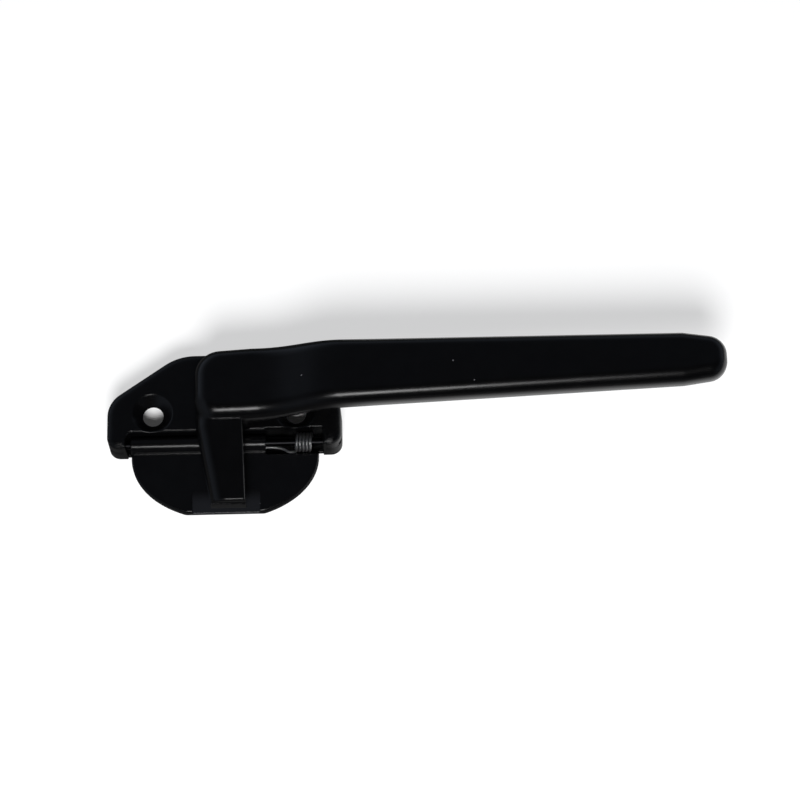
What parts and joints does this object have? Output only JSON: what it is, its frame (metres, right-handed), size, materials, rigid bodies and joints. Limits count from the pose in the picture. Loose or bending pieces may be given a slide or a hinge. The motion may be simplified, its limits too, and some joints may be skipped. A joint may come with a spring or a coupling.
{
  "type": "casement handle",
  "caption": "Lever handle for a casement window, with a locking tongue, a two-hole base and a half-moon flap sprung on a hinge pin below it.",
  "frame": {"origin": "on the spindle axis, at the mounting face of the base", "axes": "+X along the closed lever towards its tip, +Y towards the crown of the base, +Z away from the window"},
  "size_m": [0.1636, 0.0432, 0.0259],
  "materials": {
    "coated_casting": "satin black powder coat on die-cast zinc",
    "steel": "bright zinc-plated steel",
    "spring_steel": "bare spring wire",
    "nylon": "plain black nylon"
  },
  "bodies": {
    "base": {"base": "coated_casting", "hinge_pin": "steel", "flap_spring": "spring_steel", "bearing_washer": "nylon"},
    "handle": {"handle": "coated_casting", "spindle": "steel", "flat_washer": "steel", "cone_washer": "spring_steel"},
    "flap": {"flap": "coated_casting"}
  },
  "joints": [
    {"name": "handle_turn", "type": "hinge", "parent": "base", "child": "handle", "pos_m": [0, 0, 0], "axis": [0, 0, 1], "range_deg": [0, 90]},
    {"name": "flap_hinge", "type": "hinge", "parent": "base", "child": "flap", "pos_m": [0, -0.01245, 0.0055], "axis": [1, 0, 0], "range_deg": [0, 20], "stiffness_Nm_per_rad": 0.05, "springref_deg": -20.05, "deforming": ["flap_spring"]}
  ]
}
